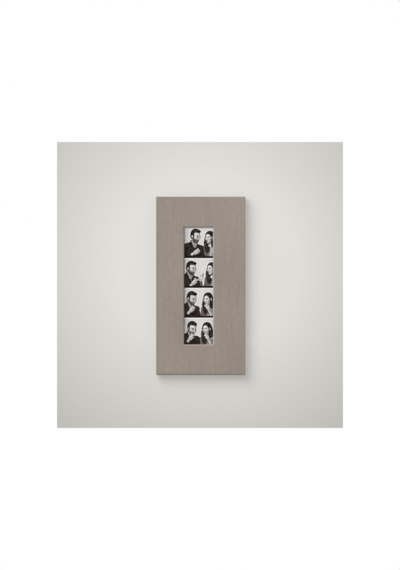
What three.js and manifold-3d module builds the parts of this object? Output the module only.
// Photo strip frame: a veneered wall panel with a bevelled window for one upright strip of four pictures.
//
// The frame is drawn as if it lay face up on a bench: X to the right of the picture, Y up the picture and
// Z towards the viewer. The exported group then stands it upright, so that the part has +Z up, its face
// towards -Y and the wall in the XZ plane. The origin is the middle of the hanger's bar, on the wall.
// Lengths are in millimetres. Left and right are as seen from the front.

import * as THREE from "three";
import { mergeVertices } from "three/addons/utils/BufferGeometryUtils.js";
import Module from "manifold-3d";

// Panel
const FRAME_WIDTH = 150; // outside, over the lippings
const FRAME_HEIGHT = 300;
const VENEER = 0.6; // thickness of the face veneer
const LIPPING = 3; // thickness of the solid strips round the panel's edge
const EDGE_ROUND = 1.5; // radius of the lippings' front edge
const BACK_EASE = 0.5; // chamfer of the lippings' back edge

// Picture strip and what covers it
const STRIP_WIDTH = 51;
const STRIP_HEIGHT = 203;
const STRIP = 0.3; // thickness of the picture strip
const SIDE_COVER = 1.2; // how much of the strip the window hides along each side
const END_COVER = 3; // and at each end
const SIDE_PLAY = 1; // from the strip's side to the wall of the glazing's rebate
const END_PLAY = 1.5;

// Window
const WINDOW_SHIFT = -3.8; // the window sits a little left of the panel's middle
const LINING = 2; // thickness of the strips that line the window
const BEVEL = 1.8; // 45 degree bevel on the linings' front edge
const LIP_DEPTH = 2.8; // from the face back to the ledge that holds the glazing

// What else lies behind the window
const GLAZING = 1.5;
const FILLER = 6.5;
const BOARD = 3;
const BOARD_LEDGE = 6.5; // how far the backing board's rebate reaches past the glazing's
const ROUT_RADIUS = 1.5; // corner left by the cutter in both rebates
const NOTCH_RADIUS = 8; // finger notch in the backing board's lower edge

// Turn buttons that hold the backing board
const BUTTON_SHEET = 1;
const BUTTON_HUB = 4.8; // radius of the end that turns on the screw
const BUTTON_TIP = 3.4; // radius of the tongue's end
const BUTTON_REACH = 12; // from the pivot to the centre of the tongue's end
const BUTTON_SETBACK = 7; // from the backing board's rebate to the pivot
const BUTTON_SPACING = 70; // between the buttons along one side
const RIB_START = 6.2; // stiffening rib pressed into the tongue, measured from the pivot
const RIB_END = 12;
const RIB_RADIUS = 1.6;
const RIB_RISE = 0.5; // how far the rib stands above the sheet
const BUTTON_SCREW = { shank: 1.4, head: 2.9, rise: 1.3, length: 9, slot: 0.75 };

// Sawtooth hanger
const STANDOFF = 3; // from the wall to the panel's back
const HANGER_DROP = 20; // from the frame's top edge to the middle of the hanger
const HANGER_LENGTH = 46;
const HANGER_WIDTH = 11;
const HANGER_SHEET = 0.8;
const HANGER_CORNER = 3;
const BAR_LENGTH = 23; // the raised part that hooks over the nail
const BAR_RAMP = 3;
const TOOTH_PITCH = 2.3;
const TOOTH_DEPTH = 1.7;
const HANGER_SCREW = { shank: 1.1, head: 2.3, rise: 1.1, length: 8, slot: 0.6 };
const HANGER_SCREW_INSET = 4.8; // from the hanger's end to the screw

// Wall bumpers
const BUMPER_RADIUS = 5;
const BUMPER_TAPER = 0.6; // how much smaller the face on the wall is
const BUMPER_INSET = 12; // from the frame's side and lower edge

// Clearances
const GLUE_LINE = 0.05; // between bonded pieces
const SEAT_GAP = 0.1; // between pieces that rest on each other
const DROP_IN = 0.5; // round the pieces that drop into a rebate
const PIVOT_GAP = 0.2; // round a screw's shank

// Fineness of the facets
const ARC_STEPS = 6; // per arc of an outline
const TURN_STEPS = 20; // per turn of a round piece

// Depths, measured towards the viewer from the panel's back
const FILLER_AT = BOARD + SEAT_GAP;
const STRIP_AT = FILLER_AT + FILLER + SEAT_GAP;
const GLAZING_AT = STRIP_AT + STRIP + SEAT_GAP;
const LEDGE_AT = GLAZING_AT + GLAZING + SEAT_GAP;
const PANEL_DEPTH = LEDGE_AT + LIP_DEPTH;
const CORE_DEPTH = PANEL_DEPTH - VENEER - GLUE_LINE;

// Outlines that follow from the driving dimensions
const SIGHT_WIDTH = STRIP_WIDTH - 2 * SIDE_COVER; // the clear opening
const SIGHT_HEIGHT = STRIP_HEIGHT - 2 * END_COVER;
const CORE_WIDTH = FRAME_WIDTH - 2 * (LIPPING + GLUE_LINE);
const CORE_HEIGHT = FRAME_HEIGHT - 2 * (LIPPING + GLUE_LINE);
const LINING_WIDTH = SIGHT_WIDTH + 2 * LINING;
const LINING_HEIGHT = SIGHT_HEIGHT + 2 * LINING;
const WINDOW_WIDTH = LINING_WIDTH + 2 * GLUE_LINE;
const WINDOW_HEIGHT = LINING_HEIGHT + 2 * GLUE_LINE;
const REBATE_WIDTH = STRIP_WIDTH + 2 * SIDE_PLAY;
const REBATE_HEIGHT = STRIP_HEIGHT + 2 * END_PLAY;
const BOARD_REBATE_WIDTH = REBATE_WIDTH + 2 * BOARD_LEDGE;
const BOARD_REBATE_HEIGHT = REBATE_HEIGHT + 2 * BOARD_LEDGE;
const CORNER_ROOM = ROUT_RADIUS * (1 - Math.SQRT1_2); // what a square corner needs in a routed one
const PANEL_MIDDLE = HANGER_DROP - FRAME_HEIGHT / 2; // height of the panel's middle above the hanger
const BUTTON_PIVOT = BOARD_REBATE_WIDTH / 2 + BUTTON_SETBACK;
const BUTTON_ROWS = { top: BUTTON_SPACING, middle: 0, bottom: -BUTTON_SPACING };
const SIDES = { left: -1, right: 1 };
const HANGER_SCREW_AT = HANGER_LENGTH / 2 - HANGER_SCREW_INSET;

// Seats of the screws' heads, measured from the panel's back
const BUTTON_SCREW_SEAT = -2 * SEAT_GAP - BUTTON_SHEET;
const HANGER_SCREW_SEAT = -2 * SEAT_GAP - HANGER_SHEET;

const wasm = await Module();
wasm.setup();

const MATERIALS = {
  veneer: finish(0x978d84, 0.62),
  lipping: finish(0x928880, 0.6),
  fibreboard: finish(0x9b7c5c, 0.9),
  glass: finish(0xe8f0ee, 0.05),
  print: finish(0xb4b2ae, 0.35),
  filler: finish(0xbcb1a1, 0.9),
  hardboard: finish(0x5d4433, 0.7),
  zinc: finish(0xb9bcbe, 0.35, 1),
  rubber: finish(0x2a2a2b, 0.8),
};

function finish(color, roughness, metalness = 0) {
  return new THREE.MeshStandardMaterial({ color, roughness, metalness });
}

function piece(name, geometry, material, x = 0, y = 0, z = 0) {
  const mesh = new THREE.Mesh(geometry, material);
  mesh.name = name;
  mesh.position.set(x, y, z);
  return mesh;
}

// Booleans

function solidOf(geometry) {
  const bare = geometry.clone();
  bare.deleteAttribute("normal");
  bare.deleteAttribute("uv");
  const merged = mergeVertices(bare);
  return new wasm.Manifold(
    new wasm.Mesh({
      numProp: 3,
      vertProperties: merged.attributes.position.array,
      triVerts: new Uint32Array(merged.index.array),
    }),
  );
}

function geometryOf(solid) {
  const made = solid.getMesh();
  const geometry = new THREE.BufferGeometry();
  geometry.setAttribute("position", new THREE.BufferAttribute(made.vertProperties, 3));
  geometry.setIndex(new THREE.BufferAttribute(made.triVerts, 1));
  geometry.computeVertexNormals();
  return geometry;
}

function cut(blank, tools) {
  const left = tools.reduce((rest, tool) => rest.subtract(solidOf(tool)), solidOf(blank));
  return geometryOf(left);
}

// Flat work

function rectangle(width, height, radius = 0) {
  const right = width / 2;
  const top = height / 2;
  const shape = new THREE.Shape();
  if (radius === 0) {
    shape.moveTo(-right, -top).lineTo(right, -top).lineTo(right, top).lineTo(-right, top);
    return shape;
  }
  shape.absarc(right - radius, -top + radius, radius, -Math.PI / 2, 0, false);
  shape.absarc(right - radius, top - radius, radius, 0, Math.PI / 2, false);
  shape.absarc(-right + radius, top - radius, radius, Math.PI / 2, Math.PI, false);
  shape.absarc(-right + radius, -top + radius, radius, Math.PI, 1.5 * Math.PI, false);
  return shape;
}

function sheet(shape, from, to) {
  const depth = to - from;
  const geometry = new THREE.ExtrudeGeometry(shape, { depth, bevelEnabled: false, curveSegments: ARC_STEPS });
  return geometry.translate(0, 0, from);
}

// A cutter that starts below the panel's back and ends at a given depth.
function cutter(shape, to, x = 0, y = 0) {
  return sheet(shape, -LIP_DEPTH, to).translate(x, y, 0);
}

function pilotHole(screw, seat, x, y) {
  const radius = screw.shank + PIVOT_GAP;
  const depth = seat + screw.length + PIVOT_GAP;
  const hole = new THREE.CylinderGeometry(radius, radius, 2 * depth, TURN_STEPS).rotateX(Math.PI / 2);
  return hole.translate(x, y, 0);
}

// A bar along X with its outer edge at Y = 0 and its ends mitred inwards. In its profile, x is the distance
// inwards from that edge and y the height.
function mitredBar(profile, length) {
  const geometry = new THREE.ExtrudeGeometry(profile, {
    depth: 1,
    bevelEnabled: false,
    curveSegments: ARC_STEPS,
  });
  const place = geometry.attributes.position;
  for (let i = 0; i < place.count; i++) {
    const inwards = place.getX(i);
    const half = length / 2 - inwards - GLUE_LINE / 2;
    const along = place.getZ(i) > 0 ? half : -half;
    place.setXYZ(i, along, inwards, place.getY(i));
  }
  return geometry;
}

function mitredRing(prefix, profile, width, height, material) {
  const ring = new THREE.Group();
  const bars = [
    { side: "bottom", x: 0, y: -height / 2, turn: 0, length: width },
    { side: "right", x: width / 2, y: 0, turn: Math.PI / 2, length: height },
    { side: "top", x: 0, y: height / 2, turn: Math.PI, length: width },
    { side: "left", x: -width / 2, y: 0, turn: -Math.PI / 2, length: height },
  ];
  for (const { side, x, y, turn, length } of bars) {
    const bar = piece(`${prefix}_${side}`, mitredBar(profile, length), material, x, y);
    bar.rotation.z = turn;
    ring.add(bar);
  }
  return ring;
}

// Panel

function panelCore() {
  const window = rectangle(WINDOW_WIDTH, WINDOW_HEIGHT);
  const glazingRebate = rectangle(REBATE_WIDTH, REBATE_HEIGHT, ROUT_RADIUS);
  const boardRebate = rectangle(BOARD_REBATE_WIDTH, BOARD_REBATE_HEIGHT, ROUT_RADIUS);
  const tools = [
    cutter(window, PANEL_DEPTH, WINDOW_SHIFT),
    cutter(glazingRebate, LEDGE_AT, WINDOW_SHIFT),
    cutter(boardRebate, FILLER_AT, WINDOW_SHIFT),
  ];
  for (const side of Object.values(SIDES)) {
    for (const row of Object.values(BUTTON_ROWS))
      tools.push(pilotHole(BUTTON_SCREW, BUTTON_SCREW_SEAT, WINDOW_SHIFT + side * BUTTON_PIVOT, row));
    tools.push(pilotHole(HANGER_SCREW, HANGER_SCREW_SEAT, side * HANGER_SCREW_AT, -PANEL_MIDDLE));
  }
  return cut(sheet(rectangle(CORE_WIDTH, CORE_HEIGHT), 0, CORE_DEPTH), tools);
}

function faceVeneer() {
  const shape = rectangle(CORE_WIDTH, CORE_HEIGHT);
  const window = rectangle(WINDOW_WIDTH, WINDOW_HEIGHT).getPoints();
  shape.holes.push(new THREE.Path(window.map((corner) => corner.setX(corner.x + WINDOW_SHIFT))));
  return sheet(shape, PANEL_DEPTH - VENEER, PANEL_DEPTH);
}

function lippingProfile() {
  const shape = new THREE.Shape();
  shape.moveTo(BACK_EASE, 0).lineTo(LIPPING, 0).lineTo(LIPPING, PANEL_DEPTH);
  shape.absarc(EDGE_ROUND, PANEL_DEPTH - EDGE_ROUND, EDGE_ROUND, Math.PI / 2, Math.PI, false);
  shape.lineTo(0, BACK_EASE);
  return shape;
}

function liningProfile() {
  const shape = new THREE.Shape();
  shape.moveTo(0, LEDGE_AT).lineTo(LINING, LEDGE_AT).lineTo(LINING, PANEL_DEPTH - BEVEL);
  shape.lineTo(LINING - BEVEL, PANEL_DEPTH).lineTo(0, PANEL_DEPTH);
  return shape;
}

// What drops in behind the window

function dropIn(width, height, from, to) {
  return sheet(rectangle(width - 2 * DROP_IN, height - 2 * DROP_IN, ROUT_RADIUS), from, to);
}

function pictureStrip() {
  const lowerEdge = -REBATE_HEIGHT / 2 + CORNER_ROOM + SEAT_GAP;
  const strip = sheet(rectangle(STRIP_WIDTH, STRIP_HEIGHT), STRIP_AT, STRIP_AT + STRIP);
  return strip.translate(0, lowerEdge + STRIP_HEIGHT / 2, 0);
}

function backingBoard() {
  const board = dropIn(BOARD_REBATE_WIDTH, BOARD_REBATE_HEIGHT, 0, BOARD);
  const notch = new THREE.CylinderGeometry(NOTCH_RADIUS, NOTCH_RADIUS, 3 * BOARD, 2 * TURN_STEPS);
  const lowerEdge = DROP_IN - BOARD_REBATE_HEIGHT / 2;
  return cut(board, [notch.rotateX(Math.PI / 2).translate(0, lowerEdge, 0)]);
}

// Hardware, drawn with its seat at Z = 0 and the wall on the negative side

// A pan-head wood screw: its head towards the wall, its shank tapering to a point, and a crossed recess.
function screwBody({ shank, head, rise, length, slot }) {
  const crown = 0.35 * rise; // upright edge below the domed top
  const point = 2 * shank; // length of the tapered end
  const recessDepth = 0.6 * rise;
  const profile = new THREE.Path();
  profile.moveTo(0, -rise);
  profile.quadraticCurveTo(head, -rise, head, -crown);
  profile.lineTo(head, 0).lineTo(shank, 0).lineTo(shank, length - point).lineTo(0, length);
  const body = new THREE.LatheGeometry(profile.getPoints(ARC_STEPS), TURN_STEPS).rotateX(Math.PI / 2);
  const recess = [0, Math.PI / 2].map((turn) => {
    const blade = new THREE.BoxGeometry(head, slot, 2 * recessDepth);
    return blade.rotateZ(turn).translate(0, 0, -rise);
  });
  return cut(body, recess);
}

// A pressed tongue with a round hub, a screw hole and a stiffening rib that stands towards the wall.
function turnButton() {
  const tangent = Math.acos((BUTTON_HUB - BUTTON_TIP) / BUTTON_REACH);
  const outline = new THREE.Shape();
  outline.absarc(0, 0, BUTTON_HUB, tangent, 2 * Math.PI - tangent, false);
  outline.absarc(BUTTON_REACH, 0, BUTTON_TIP, -tangent, tangent, false);
  const hole = new THREE.Path();
  hole.absarc(0, 0, BUTTON_SCREW.shank + PIVOT_GAP, 0, 2 * Math.PI, true);
  outline.holes.push(hole);
  const blank = solidOf(sheet(outline, -BUTTON_SHEET, 0));
  const outside = solidOf(rib(RIB_RADIUS)).intersect(solidOf(sheet(outline, -BUTTON_SHEET - RIB_RADIUS, 0)));
  const groove = solidOf(rib(RIB_RADIUS - BUTTON_SHEET / 2));
  return geometryOf(blank.add(outside).subtract(groove));
}

function rib(radius) {
  const length = RIB_END - RIB_START - 2 * RIB_RADIUS;
  const axis = RIB_RADIUS - BUTTON_SHEET - RIB_RISE; // height of the rib's centre line
  const bead = new THREE.CapsuleGeometry(radius, length, ARC_STEPS, TURN_STEPS).rotateZ(Math.PI / 2);
  return bead.translate((RIB_START + RIB_END) / 2, 0, axis);
}

// A bent strip whose raised bar has teeth along its lower edge, for a nail to catch in.
function sawtoothHanger() {
  const ear = -SEAT_GAP - HANGER_SHEET; // the ears' face towards the wall
  const bar = -STANDOFF;
  const rampFoot = BAR_LENGTH / 2 + BAR_RAMP;
  const fold = HANGER_SHEET * Math.tan(Math.atan((ear - bar) / BAR_RAMP) / 2);
  const outer = [
    [HANGER_LENGTH / 2, ear],
    [rampFoot, ear],
    [BAR_LENGTH / 2, bar],
  ];
  const inner = outer.map(([x, z], i) => [i === 0 ? x : x - fold, z + HANGER_SHEET]).reverse();
  const mirrored = (points) => points.map(([x, z]) => [-x, z]).reverse();
  const bend = [...outer, ...mirrored(outer), ...mirrored(inner), ...inner];
  const bent = new THREE.Shape(bend.map(([x, z]) => new THREE.Vector2(x, z)));
  const strip = sheet(bent, -HANGER_WIDTH, HANGER_WIDTH).rotateX(Math.PI / 2);
  const profile = sheet(hangerOutline(), 2 * bar, 0);
  return geometryOf(solidOf(strip).intersect(solidOf(profile)));
}

function hangerOutline() {
  const lower = -HANGER_WIDTH / 2;
  const teeth = Math.floor(BAR_LENGTH / TOOTH_PITCH);
  const plain = rectangle(HANGER_LENGTH, HANGER_WIDTH, HANGER_CORNER).getPoints(ARC_STEPS);
  const outline = new THREE.Shape();
  outline.moveTo((-teeth * TOOTH_PITCH) / 2, lower);
  for (let tooth = 0; tooth < teeth; tooth++) {
    const start = (tooth - teeth / 2) * TOOTH_PITCH;
    outline.lineTo(start + TOOTH_PITCH / 2, lower + TOOTH_DEPTH).lineTo(start + TOOTH_PITCH, lower);
  }
  for (const corner of plain) outline.lineTo(corner.x, corner.y);
  for (const side of Object.values(SIDES)) {
    const hole = new THREE.Path();
    hole.absarc(side * HANGER_SCREW_AT, 0, HANGER_SCREW.shank + PIVOT_GAP, 0, 2 * Math.PI, true);
    outline.holes.push(hole);
  }
  return outline;
}

function bumper() {
  const wall = -STANDOFF;
  const seat = -GLUE_LINE;
  const profile = new THREE.Path();
  profile.moveTo(0, wall).lineTo(BUMPER_RADIUS - 2 * BUMPER_TAPER, wall);
  profile.quadraticCurveTo(BUMPER_RADIUS - BUMPER_TAPER, wall, BUMPER_RADIUS, wall / 2);
  profile.lineTo(BUMPER_RADIUS, seat).lineTo(0, seat);
  return new THREE.LatheGeometry(profile.getPoints(ARC_STEPS), TURN_STEPS).rotateX(Math.PI / 2);
}

// Assembly

function windowGroup() {
  const group = new THREE.Group();
  group.position.x = WINDOW_SHIFT;
  group.add(mitredRing("window_lining", liningProfile(), LINING_WIDTH, LINING_HEIGHT, MATERIALS.lipping));
  const glazing = dropIn(REBATE_WIDTH, REBATE_HEIGHT, GLAZING_AT, GLAZING_AT + GLAZING);
  const filler = dropIn(REBATE_WIDTH, REBATE_HEIGHT, FILLER_AT, FILLER_AT + FILLER);
  group.add(piece("glazing", glazing, MATERIALS.glass));
  group.add(piece("photo_strip", pictureStrip(), MATERIALS.print));
  group.add(piece("filler_board", filler, MATERIALS.filler));
  group.add(piece("backing_board", backingBoard(), MATERIALS.hardboard));
  const button = turnButton();
  const screw = screwBody(BUTTON_SCREW);
  for (const [sideName, side] of Object.entries(SIDES)) {
    for (const [rowName, row] of Object.entries(BUTTON_ROWS)) {
      const place = `${sideName}_${rowName}`;
      const pivot = side * BUTTON_PIVOT;
      const turned = piece(`turn_button_${place}`, button, MATERIALS.zinc, pivot, row, -SEAT_GAP);
      turned.rotation.z = side > 0 ? Math.PI : 0;
      group.add(turned, piece(`button_screw_${place}`, screw, MATERIALS.zinc, pivot, row, BUTTON_SCREW_SEAT));
    }
  }
  return group;
}

function hangerGroup() {
  const group = new THREE.Group();
  group.position.y = -PANEL_MIDDLE;
  group.add(piece("sawtooth_hanger", sawtoothHanger(), MATERIALS.zinc));
  const screw = screwBody(HANGER_SCREW);
  for (const [name, side] of Object.entries(SIDES)) {
    const x = side * HANGER_SCREW_AT;
    group.add(piece(`hanger_screw_${name}`, screw, MATERIALS.zinc, x, 0, HANGER_SCREW_SEAT));
  }
  return group;
}

function photoStripFrame() {
  const panel = new THREE.Group();
  panel.position.set(0, PANEL_MIDDLE, STANDOFF);
  panel.add(piece("panel_core", panelCore(), MATERIALS.fibreboard));
  panel.add(piece("face_veneer", faceVeneer(), MATERIALS.veneer));
  panel.add(mitredRing("lipping", lippingProfile(), FRAME_WIDTH, FRAME_HEIGHT, MATERIALS.lipping));
  panel.add(windowGroup(), hangerGroup());
  const foot = bumper();
  for (const [name, side] of Object.entries(SIDES)) {
    const x = side * (FRAME_WIDTH / 2 - BUMPER_INSET);
    panel.add(piece(`bumper_${name}`, foot, MATERIALS.rubber, x, BUMPER_INSET - FRAME_HEIGHT / 2));
  }
  const upright = new THREE.Group();
  upright.rotation.x = Math.PI / 2;
  upright.add(panel);
  return upright;
}

export default photoStripFrame();
